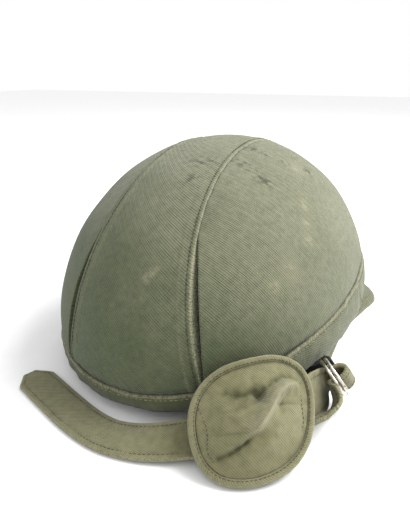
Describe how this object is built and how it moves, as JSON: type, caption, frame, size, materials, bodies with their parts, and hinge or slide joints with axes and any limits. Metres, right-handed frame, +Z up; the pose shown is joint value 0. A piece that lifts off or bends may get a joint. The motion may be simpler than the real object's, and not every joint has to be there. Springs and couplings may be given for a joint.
{
  "type": "padded jump helmet",
  "caption": "Padded canvas jump helmet with a centre strip, hem band, neck curtain, chin strap, strap rings and stitched oval chin cup, standing on a table.",
  "frame": {"origin": "under the middle of the helmet and its strap, on the table", "axes": "+Z up from the table, +Y from the brow to the nape, +X to the wearer's left"},
  "size_m": [0.2276, 0.315, 0.1454],
  "materials": {
    "olive_canvas": "matt, worn and faded cotton canvas",
    "band_canvas": "matt cotton canvas",
    "khaki_canvas": "matt, faded khaki canvas",
    "ring_steel": "nickel plated, bright",
    "black_webbing": "ribbed webbing"
  },
  "bodies": {
    "root": {"crown_strip": "olive_canvas", "crown_left": "olive_canvas", "crown_right": "olive_canvas", "hem_band": "band_canvas", "neck_curtain": "band_canvas", "chin_strap": "khaki_canvas", "ring_inner": "ring_steel", "ring_outer": "ring_steel", "ring_tab": "black_webbing", "chin_cup": "khaki_canvas", "cup_binding": "khaki_canvas", "right_clasp": "khaki_canvas"}
  },
  "joints": []
}
